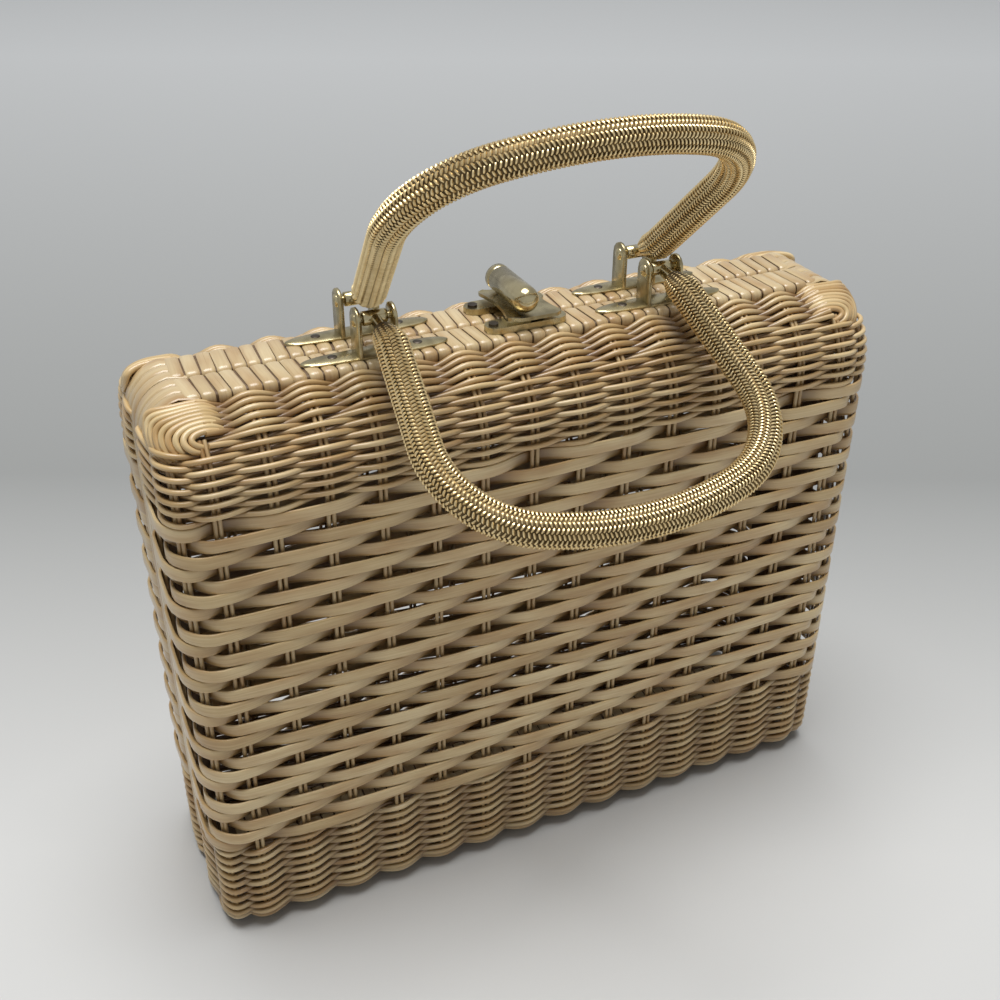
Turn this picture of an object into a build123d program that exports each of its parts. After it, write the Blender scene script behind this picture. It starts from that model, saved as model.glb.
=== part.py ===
"""Woven reed box bag: two tray halves on bottom hinges, two swing handles and a turn clasp."""
import os
from math import atan2, cos, degrees, radians, sin

from build123d import *

# Overall sizes, in millimetres
bag_width = 300.0
bag_height = 239.0
half_depth = 45.0
seam_gap = 0.3

# Woven shells
corner_radius = 16.0
corner_facets = 3
roll_radius = 12.0
roll_ridges = 2
wall_thickness = 3.4
ridge_depth = 1.3
flat_zone_bottom = 47.0
flat_zone_drop = 37.0
flat_rows = 28
top_ridges = 4
bottom_ridges = 4
lid_grooves = 3
groove_width = 2.6
groove_depth = 1.0
stake_margin = 3.35
stake_count = 14
window_width = 6.4
window_height_share = 0.8
window_row_step = 6

# Cane wrapped rims
rim_width = 18.0
rim_thickness = 6.0
rim_drop = 5.0
wraps_per_half_top = 18
wraps_per_side = 14
wrap_depth = 0.7

# Handle brackets
bracket_spread = 60.0
bracket_offset = 10.0
plate_length = 57.0
plate_width = 8.5
plate_end_width = 6.4
plate_thickness = 1.6
screw_spacing = 33.0
ear_gap = 12.2
ear_thickness = 1.6
ear_width = 8.0
pin_height = 14.0
pin_radius = 1.5
pin_head_radius = 2.5
pin_head_thickness = 0.9

# Screw heads and the number of flats used for small round details
screw_head_radius = 2.0
screw_head_height = 0.8
screw_sides = 8
round_sides = 12
pin_sides = 16
end_facets = 5

# Handles
front_leg_angle = -27.0
back_leg_angle = 135.0
root_bend = 18.0
leg_splay = 13.0
knuckle_radius = 2.9
knuckle_width = 9.6
running_clearance = 0.06
ferrule_length = 19.0
ferrule_end_radius = 4.6
ferrule_land = 1.0
collar_radius = 5.6
collar_length = 4.0
collar_lap = 1.0
sleeve_radius = 6.5
sleeve_sides = 10
grip_height = 89.0
handle_leg_share = 0.46
handle_corner_share = 0.315
handle_corner_facets = 6
grip_facets = 12

# Turn clasp
clasp_x = 1.0
clasp_plate_length = 34.0
clasp_plate_thickness = 2.5
clasp_screw_offset = 13.5
pad_x = -3.0
pad_length = 10.0
pad_width = 5.0
pad_height = 1.6
saddle_x = 3.0
saddle_width = 23.0
saddle_length = 31.0
saddle_thickness = 1.4
saddle_corner = 2.5
lip_height = 3.2
boss_radius = 4.4
boss_height = 3.8
spindle_y = -1.0
spindle_radius = 2.2
cam_clearance = 0.3
cam_thickness = 1.0
cam_inner_radius = 9.8
cam_outer_radius = 12.2
cam_hub_radius = 3.6
cam_start_angle = -44.0
cam_end_angle = 16.0
spoke_angle = -38.0
sector_steps = 6
spoke_width = 3.2
lug_inner_radius = 7.0
lug_outer_radius = 9.4
lug_half_angle = 14.0
lug_height = 1.2
barrel_radius = 5.2
barrel_length = 31.0
barrel_lift = 0.3
barrel_sides = 16
dome_shares = ((0.5, 0.9), (0.32, 0.32))

# Bottom hinges
hinge_spread = 80.0
hinge_knuckles = 3
hinge_width = 24.0
hinge_reach = 14.0
hinge_leaf_thickness = 1.2
hinge_axis_height = 2.6
hinge_knuckle_radius = 2.2
hinge_pin_radius = 0.8
hinge_gap = 0.3
hinge_screw_x = 8.0
hinge_screw_y = 9.5

# Sizes that follow from the ones above
rim_face = seam_gap / 2
rim_back = rim_face + rim_width
half_width = bag_width / 2
front_face = -half_depth
flat_zone_top = bag_height - flat_zone_drop
flat_pitch = (flat_zone_top - flat_zone_bottom) / flat_rows
window_height = flat_pitch * window_height_share
stake_pitch = (bag_width - 2 * corner_radius - 2 * stake_margin) / (stake_count - 1)
handle_leg_length = grip_height * handle_leg_share
handle_corner_radius = grip_height * handle_corner_share
pin_z = bag_height + pin_height
plate_top = bag_height + plate_thickness
clasp_plate_top = bag_height + clasp_plate_thickness
saddle_bottom = clasp_plate_top + pad_height
saddle_top = saddle_bottom + saddle_thickness
barrel_z = saddle_top + boss_height + barrel_lift + barrel_radius


def arc_points(x, y, radius, start_angle, end_angle, facets):
    """Points along an arc about a centre, ends included."""
    points = []
    for facet in range(facets + 1):
        angle = radians(start_angle + (end_angle - start_angle) * facet / facets)
        points.append((x + radius * cos(angle), y + radius * sin(angle)))
    return points


def mirrored(points):
    """The same points on the other side of the middle, in the opposite order."""
    return [(-x, y) for x, y in reversed(points)]


def ridge_points(low, high, count):
    """Saw-tooth points up a wall: a hollow, then a crest for each row."""
    pitch = (high - low) / count
    points = []
    for row in range(count):
        points.append((ridge_depth, low + row * pitch))
        points.append((0, low + (row + 0.5) * pitch))
    return points


def roll_points(base, sign, start_angle, end_angle):
    """Ridged quarter round between a wall and the top or bottom."""
    steps = 2 * roll_ridges
    points = []
    for step in range(steps + 1):
        angle = radians(start_angle + (end_angle - start_angle) * step / steps)
        radius = roll_radius - (ridge_depth if step % 2 else 0)
        points.append((roll_radius - radius * sin(angle), base + sign * (roll_radius - radius * cos(angle))))
    return points


def wall_section():
    """Closed outline of the ridged wall, as inward distance and height."""
    outer = roll_points(0, 1, 0, 90)
    outer += ridge_points(roll_radius, flat_zone_bottom, bottom_ridges)[1:]
    outer += ridge_points(flat_zone_bottom, flat_zone_top, flat_rows)
    outer += ridge_points(flat_zone_top, bag_height - roll_radius, top_ridges)
    outer += roll_points(bag_height, -1, 90, 0)
    inner = [
        (roll_radius, bag_height - wall_thickness),
        (wall_thickness, bag_height - roll_radius),
        (wall_thickness, roll_radius),
        (roll_radius, wall_thickness),
    ]
    return outer + inner


def wall_path():
    """Plan of the wall: one side, the front and the other side, with rounded corners."""
    centre_x = half_width - corner_radius
    centre_y = front_face + corner_radius
    right = [(half_width, -rim_back)] + arc_points(centre_x, centre_y, corner_radius, 0, -90, corner_facets)
    return mirrored(list(reversed(right))) + list(reversed(right))


def window_places():
    """Window centres in the flat reed zone, one row higher at each stake."""
    places = []
    for stake in range(stake_count):
        x = (stake - (stake_count - 1) / 2) * stake_pitch
        for row in range(flat_rows):
            if (row - stake) % window_row_step == 0:
                places.append((x, front_face, flat_zone_bottom + (row + 0.5) * flat_pitch))
    return places


def lid_outline():
    """Plan of the flat part of the top or bottom wall."""
    x = half_width - roll_radius
    y = front_face + roll_radius
    inset = corner_radius - roll_radius
    right = [(x, -rim_back)] + arc_points(x - inset, y + inset, inset, 0, -90, corner_facets)
    return right + mirrored(right)


def rim_outline():
    """Outer outline of a rim, notched between the turns of cane on the top and sides."""
    x = half_width - corner_radius
    low = rim_drop + corner_radius
    high = bag_height - corner_radius
    side_pitch = (high - low) / wraps_per_side
    top_pitch = x / wraps_per_half_top
    right = arc_points(x, low, corner_radius, -90, 0, corner_facets)[:-1]
    for turn in range(wraps_per_side):
        right.append((half_width - wrap_depth, low + turn * side_pitch))
        right.append((half_width, low + (turn + 0.5) * side_pitch))
    right.append((half_width - wrap_depth, high))
    right += arc_points(x, high, corner_radius, 0, 90, corner_facets)[1:-1]
    for turn in range(wraps_per_half_top):
        right.append((x - turn * top_pitch, bag_height - wrap_depth))
        right.append((x - (turn + 0.5) * top_pitch, bag_height))
    return right + [(0, bag_height - wrap_depth)] + mirrored(right)


with BuildPart() as front_shell:
    with BuildLine():
        shell_path = Polyline(*wall_path())
    with BuildSketch(Plane((-half_width, -rim_back, 0), x_dir=(1, 0, 0), z_dir=(0, -1, 0))):
        with BuildLine():
            Polyline(*wall_section(), close=True)
        make_face()
    sweep(path=shell_path, transition=Transition.RIGHT)
    for lid_bottom in (0, bag_height - wall_thickness):
        with BuildSketch(Plane.XY.offset(lid_bottom)):
            with BuildLine():
                Polyline(*lid_outline(), close=True)
            make_face()
        extrude(amount=wall_thickness)
    lid_depth = half_depth - roll_radius - rim_back
    for groove in range(lid_grooves):
        groove_y = -rim_back - lid_depth * (groove + 0.5) / lid_grooves
        with BuildSketch(Plane.YZ.offset(-half_width)):
            for face_z, tip_z in ((0, groove_depth), (bag_height, bag_height - groove_depth)):
                with BuildLine():
                    Polyline(
                        (groove_y - groove_width / 2, face_z),
                        (groove_y, tip_z),
                        (groove_y + groove_width / 2, face_z),
                        close=True,
                    )
                make_face()
        extrude(amount=bag_width, mode=Mode.SUBTRACT)
    with Locations(*window_places()):
        Box(window_width, 2 * corner_radius, window_height, mode=Mode.SUBTRACT)

with BuildPart() as back_shell:
    add(mirror(front_shell.part, about=Plane.XZ))

with BuildPart() as front_rim:
    with BuildSketch(Plane.XZ.offset(rim_face)):
        with BuildLine():
            Polyline(*rim_outline(), close=True)
        make_face()
        with Locations((0, (bag_height + rim_drop) / 2)):
            RectangleRounded(
                bag_width - 2 * rim_thickness,
                bag_height - rim_drop - 2 * rim_thickness,
                corner_radius - rim_thickness,
                mode=Mode.SUBTRACT,
            )
    extrude(amount=rim_width)

with BuildPart() as back_rim:
    add(mirror(front_rim.part, about=Plane.XZ))


def leaf_points(x, y, length, width, end_width):
    """Outline of a plate with faceted round ends, slimmer there than in the middle."""
    radius = end_width / 2
    right = arc_points(length / 2 - radius, 0, radius, 90, -90, end_facets)
    outline = [(0, width / 2)] + right + [(0, -width / 2)] + mirrored(right)
    return [(x + px, y + py) for px, py in outline]


def make_bracket(x, y):
    """Clevis: a slim base plate with two upright ears."""
    ear = [(y - ear_width / 2, bag_height), (y + ear_width / 2, bag_height)]
    ear += arc_points(y, pin_z, ear_width / 2, 0, 180, end_facets)
    with BuildPart() as bracket:
        with BuildSketch(Plane.XY.offset(bag_height)):
            with BuildLine():
                Polyline(*leaf_points(x, y, plate_length, plate_width, plate_end_width), close=True)
            make_face()
        extrude(amount=plate_thickness)
        for ear_x in (x - ear_gap / 2 - ear_thickness, x + ear_gap / 2):
            with BuildSketch(Plane.YZ.offset(ear_x)):
                with BuildLine():
                    Polyline(*ear, close=True)
                make_face()
                with Locations((y, pin_z)):
                    RegularPolygon(pin_radius, screw_sides, major_radius=False, mode=Mode.SUBTRACT)
            extrude(amount=ear_thickness)
    return bracket


def make_pin(x, y):
    """Rivet through both ears of a bracket."""
    reach = ear_gap / 2 + ear_thickness
    with BuildPart() as pin:
        with BuildSketch(Plane.YZ.offset(x - reach)):
            with Locations((y, pin_z)):
                RegularPolygon(pin_radius, pin_sides)
        extrude(amount=2 * reach)
        for head_x in (x - reach - pin_head_thickness, x + reach):
            with BuildSketch(Plane.YZ.offset(head_x)):
                with Locations((y, pin_z)):
                    RegularPolygon(pin_head_radius, screw_sides)
            extrude(amount=pin_head_thickness)
    return pin


def make_screws(places, seat):
    """Screw heads on a plate, as one group of separate solids."""
    with BuildPart() as screws:
        with BuildSketch(Plane.XY.offset(seat)):
            with Locations(*places):
                RegularPolygon(screw_head_radius, screw_sides)
        extrude(amount=screw_head_height)
    return screws


def ferrule_direction(side, leg_angle):
    """Unit vector along the ferrule, which is bent up from the leg."""
    angle = radians(leg_angle + root_bend)
    return Vector(0, side * cos(angle), sin(angle))


def leg_direction(side, leg_angle):
    """Unit vector along the handle's own plane, away from its pins."""
    angle = radians(leg_angle)
    return Vector(0, side * cos(angle), sin(angle))


def splayed(hand, along):
    """Leg direction on one hand: outward by the splay angle."""
    return along * cos(radians(leg_splay)) + Vector(hand * sin(radians(leg_splay)), 0, 0)


def make_ferrule(hand, side, leg_angle):
    """Tapered root of a handle, with an eye for the pin and a collar for the sleeve."""
    pin = Vector(hand * bracket_spread, side * bracket_offset, pin_z)
    axis = ferrule_direction(side, leg_angle)
    leg = splayed(hand, leg_direction(side, leg_angle))
    bend = pin + axis * ferrule_length
    eye = Plane(pin, x_dir=axis, z_dir=(1, 0, 0))
    with BuildPart() as ferrule:
        with BuildSketch(Plane(pin, x_dir=(1, 0, 0), z_dir=axis)):
            RegularPolygon(ferrule_end_radius, round_sides)
        extrude(amount=ferrule_length)
        narrow_end = ferrule.faces().sort_by_distance(pin)[0]
        chamfer(
            narrow_end.edges(),
            length=(ferrule_end_radius - knuckle_radius) * cos(radians(180 / round_sides)),
            length2=ferrule_length - ferrule_land,
            reference=narrow_end,
        )
        with BuildSketch(eye):
            RegularPolygon(knuckle_radius, round_sides)
        extrude(amount=knuckle_width / 2, both=True)
        with BuildSketch(Plane(bend - leg * collar_lap, x_dir=leg.cross(axis), z_dir=leg)):
            RegularPolygon(collar_radius, round_sides)
        extrude(amount=collar_length + collar_lap)
        with BuildSketch(eye):
            RegularPolygon(pin_radius + running_clearance, pin_sides, major_radius=False)
        extrude(amount=knuckle_width, both=True, mode=Mode.SUBTRACT)
    return ferrule


def bow_points():
    """Middle line of a handle in its own plane: splayed legs, round corners and an arched grip."""
    lean = sin(radians(leg_splay))
    rise = cos(radians(leg_splay))
    radius = handle_corner_radius
    start = (bracket_spread + collar_length * lean, collar_length * rise)
    leg_end = (start[0] + handle_leg_length * lean, start[1] + handle_leg_length * rise)
    centre = (leg_end[0] - radius * rise, leg_end[1] + radius * lean)
    drop = grip_height - centre[1]
    grip_radius = (centre[0] ** 2 + drop**2 - radius**2) / (2 * (drop - radius))
    grip_centre = grip_height - grip_radius
    join = degrees(atan2(centre[1] - grip_centre, centre[0]))
    right = [start] + arc_points(centre[0], centre[1], radius, -leg_splay, join, handle_corner_facets)
    grip = arc_points(0, grip_centre, grip_radius, join, 180 - join, grip_facets)
    return right + grip[1:-1] + mirrored(right)


def make_sleeve(side, leg_angle):
    """Covered handle bow."""
    along = leg_direction(side, leg_angle)
    middle = Vector(0, side * bracket_offset, pin_z) + ferrule_direction(side, leg_angle) * ferrule_length
    plane = Plane(middle, x_dir=(1, 0, 0), z_dir=(0, -along.Z, along.Y))
    root = middle + splayed(1, along) * collar_length + Vector(bracket_spread, 0, 0)
    with BuildPart() as sleeve:
        with BuildLine(plane):
            bow = Polyline(*bow_points())
        with BuildSketch(Plane(root, x_dir=plane.z_dir, z_dir=splayed(1, along))):
            RegularPolygon(sleeve_radius, sleeve_sides)
        sweep(path=bow, transition=Transition.RIGHT)
    return sleeve


def make_clasp_plate(y):
    """Long rounded plate screwed to a rim."""
    with BuildPart() as plate:
        with BuildSketch(Plane.XY.offset(bag_height)):
            with BuildLine():
                Polyline(*leaf_points(clasp_x, y, clasp_plate_length, plate_width, plate_width), close=True)
            make_face()
        extrude(amount=clasp_plate_thickness)
    return plate


def sector(inner, outer, start_angle, end_angle):
    """Points round a ring sector about the clasp spindle."""
    outside = arc_points(0, spindle_y, outer, start_angle, end_angle, sector_steps)
    inside = arc_points(0, spindle_y, inner, end_angle, start_angle, sector_steps)
    return outside + inside


def make_leaf(x, side, knuckles, bore, bore_sides):
    """Hinge leaf under a rim, with its own share of the knuckles."""
    near = hinge_knuckle_radius + hinge_gap
    with BuildPart() as leaf:
        with Locations((x, side * (hinge_reach + near) / 2, rim_drop)):
            Box(
                hinge_width,
                hinge_reach - near,
                hinge_leaf_thickness,
                align=(Align.CENTER, Align.CENTER, Align.MAX),
            )
        knuckle_length = hinge_width / hinge_knuckles - hinge_gap
        for knuckle in knuckles:
            knuckle_x = x + knuckle * hinge_width / hinge_knuckles - knuckle_length / 2
            with BuildSketch(Plane.YZ.offset(knuckle_x)):
                with Locations((0, hinge_axis_height)):
                    RegularPolygon(hinge_knuckle_radius, round_sides)
                with BuildLine():
                    Polyline(
                        (0, rim_drop - hinge_leaf_thickness),
                        (0, hinge_axis_height + hinge_knuckle_radius),
                        (side * near, rim_drop),
                        (side * near, rim_drop - hinge_leaf_thickness),
                        close=True,
                    )
                make_face()
                with Locations((0, hinge_axis_height)):
                    RegularPolygon(bore, bore_sides, major_radius=False, mode=Mode.SUBTRACT)
            extrude(amount=knuckle_length)
    return leaf


def make_hinge_pin(x):
    """Straight pin through the knuckles of one hinge."""
    with BuildPart() as pin:
        with BuildSketch(Plane.YZ.offset(x - hinge_width / 2)):
            with Locations((0, hinge_axis_height)):
                RegularPolygon(hinge_pin_radius, round_sides)
        extrude(amount=hinge_width)
    return pin


with BuildPart() as front_clasp_plate:
    add(make_clasp_plate(-bracket_offset).part)
    with Locations((pad_x, -bracket_offset, clasp_plate_top)):
        Box(pad_length, pad_width, pad_height, align=(Align.CENTER, Align.CENTER, Align.MIN))

with BuildPart() as back_clasp_plate:
    add(make_clasp_plate(bracket_offset).part)
    with BuildSketch(Plane.XY.offset(clasp_plate_top)):
        with BuildLine():
            lug = sector(lug_inner_radius, lug_outer_radius, 90 - lug_half_angle, 90 + lug_half_angle)
            Polyline(*lug, close=True)
        make_face()
    extrude(amount=lug_height)

with BuildPart() as clasp_saddle:
    with BuildSketch(Plane.XY.offset(saddle_bottom)):
        with Locations((saddle_x, 0)):
            chamfer(Rectangle(saddle_width, saddle_length).vertices(), saddle_corner)
    extrude(amount=saddle_thickness)
    with BuildSketch(Plane.XY.offset(saddle_top)):
        with Locations((0, spindle_y)):
            RegularPolygon(boss_radius, round_sides)
    extrude(amount=boss_height)
    with Locations((saddle_x - saddle_width / 2, 0, saddle_top)):
        Box(
            saddle_thickness,
            saddle_length - 2 * saddle_corner,
            lip_height,
            align=(Align.MIN, Align.CENTER, Align.MIN),
        )
    with BuildSketch(Plane.XY.offset(saddle_bottom)):
        with Locations((0, spindle_y)):
            RegularPolygon(spindle_radius + running_clearance, barrel_sides, major_radius=False)
    extrude(amount=saddle_thickness + boss_height, mode=Mode.SUBTRACT)

with BuildPart() as clasp_barrel:
    with BuildSketch(Plane.XZ.offset(-spindle_y - barrel_length / 2)):
        with Locations((0, barrel_z)):
            RegularPolygon(barrel_radius, barrel_sides)
    extrude(amount=barrel_length)
    for face_share, side_share in dome_shares:
        front_end = clasp_barrel.faces().sort_by(Axis.Y)[0]
        chamfer(
            front_end.edges(),
            length=barrel_radius * face_share,
            length2=barrel_radius * side_share,
            reference=front_end,
        )
    with BuildSketch(Plane.XY.offset(saddle_bottom - cam_clearance)):
        with Locations((0, spindle_y)):
            RegularPolygon(spindle_radius, barrel_sides)
    extrude(amount=barrel_z - saddle_bottom + cam_clearance)

with BuildPart() as clasp_cam:
    with BuildSketch(Plane.XY.offset(saddle_bottom - cam_clearance - cam_thickness)):
        with BuildLine():
            Polyline(*sector(cam_inner_radius, cam_outer_radius, cam_start_angle, cam_end_angle), close=True)
        make_face()
        with Locations((0, spindle_y)):
            RegularPolygon(cam_hub_radius, round_sides)
        spoke_end = (cam_inner_radius + cam_outer_radius) / 2
        with Locations(Location((0, spindle_y, 0), (0, 0, spoke_angle))):
            with Locations((spoke_end / 2, 0)):
                Rectangle(spoke_end, spoke_width)
    extrude(amount=cam_thickness)

os.makedirs("parts", exist_ok=True)
pieces = {
    "front_shell": front_shell,
    "back_shell": back_shell,
    "front_rim": front_rim,
    "back_rim": back_rim,
    "front_clasp_plate": front_clasp_plate,
    "back_clasp_plate": back_clasp_plate,
    "clasp_saddle": clasp_saddle,
    "clasp_barrel": clasp_barrel,
    "clasp_cam": clasp_cam,
}
for half, side, leg_angle in (("front", -1, front_leg_angle), ("back", 1, back_leg_angle)):
    bracket_y = side * bracket_offset
    bracket_places = []
    for word, hand in (("left", -1), ("right", 1)):
        bracket_x = hand * bracket_spread
        bracket_places.append((bracket_x - screw_spacing / 2, bracket_y))
        bracket_places.append((bracket_x + screw_spacing / 2, bracket_y))
        pieces[half + "_bracket_" + word] = make_bracket(bracket_x, bracket_y)
        pieces[half + "_pin_" + word] = make_pin(bracket_x, bracket_y)
        pieces[half + "_ferrule_" + word] = make_ferrule(hand, side, leg_angle)
    pieces[half + "_bracket_screws"] = make_screws(bracket_places, plate_top)
    pieces[half + "_clasp_screw"] = make_screws([(clasp_x - clasp_screw_offset, bracket_y)], clasp_plate_top)
    pieces[half + "_handle_sleeve"] = make_sleeve(side, leg_angle)
    hinge_places = []
    for hinge_x in (-hinge_spread, hinge_spread):
        hinge_places.append((hinge_x - hinge_screw_x, side * hinge_screw_y))
        hinge_places.append((hinge_x + hinge_screw_x, side * hinge_screw_y))
    hinge_seat = rim_drop - hinge_leaf_thickness - screw_head_height
    pieces[half + "_hinge_screws"] = make_screws(hinge_places, hinge_seat)
for word, hand in (("left", -1), ("right", 1)):
    hinge_x = hand * hinge_spread
    running_bore = hinge_pin_radius + running_clearance
    pieces["front_hinge_leaf_" + word] = make_leaf(hinge_x, -1, (0,), running_bore, pin_sides)
    pieces["back_hinge_leaf_" + word] = make_leaf(hinge_x, 1, (-1, 1), hinge_pin_radius, screw_sides)
    pieces["hinge_pin_" + word] = make_hinge_pin(hinge_x)
for name, piece in pieces.items():
    piece.part.label = name
    export_step(piece.part, "parts/" + name + ".step")
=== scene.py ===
import math

import bpy
import numpy as np
from mathutils import Matrix, Vector


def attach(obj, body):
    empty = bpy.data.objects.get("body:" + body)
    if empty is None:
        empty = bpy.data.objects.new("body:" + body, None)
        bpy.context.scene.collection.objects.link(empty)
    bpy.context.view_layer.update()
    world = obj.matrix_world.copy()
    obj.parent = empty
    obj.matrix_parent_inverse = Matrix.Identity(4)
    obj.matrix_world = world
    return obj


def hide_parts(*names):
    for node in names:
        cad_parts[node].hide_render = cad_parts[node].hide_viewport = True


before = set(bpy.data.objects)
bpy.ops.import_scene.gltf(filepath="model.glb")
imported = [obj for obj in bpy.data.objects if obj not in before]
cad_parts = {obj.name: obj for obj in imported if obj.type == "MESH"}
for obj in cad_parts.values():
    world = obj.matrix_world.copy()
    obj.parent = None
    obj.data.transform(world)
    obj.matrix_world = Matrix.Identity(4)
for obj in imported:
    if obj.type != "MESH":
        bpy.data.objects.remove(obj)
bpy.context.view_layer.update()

# Lengths are in millimetres and become metres where a mesh is made.
metre = 0.001
seed = 11

# Bag halves
bag_width = 300
bag_height = 239
half_depth = 45
corner_radius = 16
roll_radius = 12
shoulder_radius = 30
corner_rest = 10
seam_edge = 0.9
rim_face = 0.15
rim_width = 18
rim_thickness = 6
rim_drop = 5

# Stakes
stake_pitch = 20.1
stake_count = 14
stake_radius = 0.82
stake_spread = 1.08
stake_depth = 3.0
stake_wander = 0.25
corner_stake_share = 0.5
side_stake_y = 14
stake_step = 3.2
corner_stake_reach = 106
side_stakes = 2

# Rows of flat reed
flat_rows = 28
flat_bottom = 47
flat_top = 202
flat_widths = {"front": 5.3, "back": 6.3}
flat_thickness = 1.15
flat_edge = 0.5
flat_lifts = {"front": 2.05, "back": 1.45}
flat_bulge = 0.35
flat_wander = 0.3
twill_repeat = 3
row_samples = 9

# Section of a flat strip
strip_lip_share = 0.3
strip_lip_rise_share = 0.62
strip_brow_rise_share = 0.88
strip_crown_share = 0.4
strip_foot_share = 0.5

# Rows of round reed
plain_rows = 15
plain_radius = 1.05
plain_lift = 1.9
turned_rows = 2
twined_pitch = 4.45
twined_radius = 1.2
twined_lift = 2.0
twined_part = 0.85
top_scallop = 1.3
bottom_scallop = 0.75
top_rows = 5
top_pitch = 3.65
top_sink = 0.6
bottom_sink = 0.5
round_sides = 8
round_wander = 0.22
seam_dive = 3.4
# Painted shade on the reeds: colour darkened towards a brown the deeper a strand lies behind the face,
# fully at recess_depth
recess_depth = 5
recess_power = 2
painted_recess_shade = (0.30, 0.22, 0.14)

# Turns at the top corners
turn_start = 129
turn_stretch = 1.85
turn_full_rows = 3
turn_end_share = 0.74
turn_samples = 26
turn_dive = 4.0
turn_dive_power = 6
turn_lead_power = 2
turn_lead = 7
turn_lead_samples = 5

# Cane round the rims
wrap_pitch = 5.52
wrap_width = 4.9
wrap_thickness = 1.1
wrap_slant = 1.1
wrap_uneven_share = 0.025
slant_uneven_share = 0.2
wrap_span = 265
rim_corner = 2.0
corner_strips = 3
strip_width = 5.7
strip_start = 127
side_inset = 2.9
core_inset = 0.9
loop_steps = 5

# Handles
bracket_spread = 60
bracket_offset = 10
pin_z = 253
ferrule_length = 19
front_leg_angle = -27
back_leg_angle = 135
root_bend = 18
leg_splay = 5.3
collar_length = 4
grip_height = 91.3
handle_leg_share = 0.447
handle_corner_share = 0.428
bow_steps = 40
sleeve_radius = 6.5
sleeve_core = 5.5
mesh_root = 9.5
mesh_root_share = 0.66
mesh_root_run = 9
wire_radius = 0.5
wire_lift = 0.5
wire_columns = 16
wire_pitch = 1.56
wire_reach = 0.8
loop_gap_share = 0.05
wire_samples = 4
wire_sides = 5
loop_tip_share = 0.55
core_step = 2.5
tube_sides = 20

# Brass fittings
knuckle_radius = 2.7
knuckle_width = 9.6
knuckle_edge = 0.45
ferrule_neck_radius = 2.1
ferrule_end_radius = 3.3
pin_radius = 1.5
pin_head_radius = 2.5
pin_head_height = 1.0
pin_dome_steps = 6
ear_gap = 12.2
ear_thickness = 1.6
barrel_radius = 5.2
barrel_back = 14.5
barrel_front = -16.5
barrel_z = 250.4
barrel_chamfer = 0.5
barrel_dome_steps = 10
saddle_x = 3
saddle_width = 25
saddle_waist = 19
saddle_length = 31
saddle_thickness = 1.4
saddle_lip = 0.7
saddle_lip_power = 4
saddle_bluntness = 14
saddle_bottom = 243.1
saddle_end_share = 0.5
saddle_steps = 24
scribe_back = 3.4
scribe_width = 0.45
scribe_depth = 0.25
smooth_sides = 40
ferrule_steps = 6
plate_length = 57
plate_half_width = 4.9
plate_end_half_width = 3.7
plate_bluntness = 6
plate_height = 1.5
plate_edge = 0.55
plate_edge_share = 0.5
plate_brow_share = 0.86
plate_brow_reach_share = 0.72
plate_steps = 32
ear_width = 9.4
ear_foot = 0.5
ear_edge = 0.25
ear_steps = 8
screw_spacing = 33
screw_radius = 1.9
screw_height = 0.35
screw_dome_steps = 4
screw_seat_share = 0.85
edge_bevel = 0.28
bevel_angle = 35
bevel_segments = 2
dome_end_share = 0.97
steep_axis_share = 0.9

# Shading of the meshes
sharp_angle = 60
plain_tone = 0.5

# Reed and cane: pale, middle and dark tones, and how rough and lacquered each is
reed_tones = ((0.80, 0.63, 0.36), (0.71, 0.53, 0.27), (0.50, 0.33, 0.13))
cane_tones = ((0.68, 0.54, 0.32), (0.61, 0.47, 0.26), (0.48, 0.34, 0.17))
hoop_tones = ((0.25, 0.17, 0.09), (0.20, 0.13, 0.07), (0.14, 0.09, 0.05))
reed_rough = 0.34
cane_rough = 0.3
hoop_rough = 0.6
lacquer = 0.5
bare = 0
lacquer_rough = 0.28
tone_shares = (0, 0.6, 1)
grain_scale = 1
fibre_scales = (0.035, 1.6, 3.7)
fibre_detail = 5
fibre_shares = (0.3, 0.52, 0.7)
fibre_weight = 0.42
fibre_smoother = 0.1
fibre_rougher = 0.12
fibre_strength = 0.35
fibre_height = 0.25
stain_scales = (0.03, 0.12, 5.1)
stain_detail = 3
stain_shares = (0.4, 0.68)
stain_tint = (0.68, 0.52, 0.36)
stain_weight = 0.8
# Strength of the painted shade on strands that lie deep
painted_shade_weight = 1
no_tint = (1, 1, 1)

# Brass and gold wire: bright and worn colours, and how rough each is
brass_bright = (0.54, 0.46, 0.27)
brass_worn = (0.30, 0.25, 0.14)
brass_rough = 0.24
polished_bright = (0.62, 0.53, 0.32)
polished_worn = (0.42, 0.35, 0.20)
polished_rough = 0.15
# Painted shade: near-black colours for the tube under the gold mesh, standing in for the shade between the
# loops
shade_core_light = (0.18, 0.13, 0.065)
shade_core_dark = (0.10, 0.07, 0.035)
shade_core_rough = 0.5
screw_bright = (0.12, 0.10, 0.08)
screw_worn = (0.05, 0.04, 0.03)
screw_rough = 0.4
worn_scale = 160
worn_detail = 4
worn_shares = (0.35, 0.62)
worn_rougher = 0.14
worn_smoother = 0.06
scratch_scale = 1400
scratch_detail = 3
scratch_strength = 0.12
scratch_height = 0.05
wire_bright = (0.92, 0.74, 0.42)
wire_deep = (0.74, 0.56, 0.28)
wire_rough = 0.36
cloud_scale = 60
cloud_detail = 3
cloud_shares = (0.4, 0.6)
cloud_weight = 0.5
cloud_rougher = 0.08
cloud_smoother = 0.05

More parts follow.
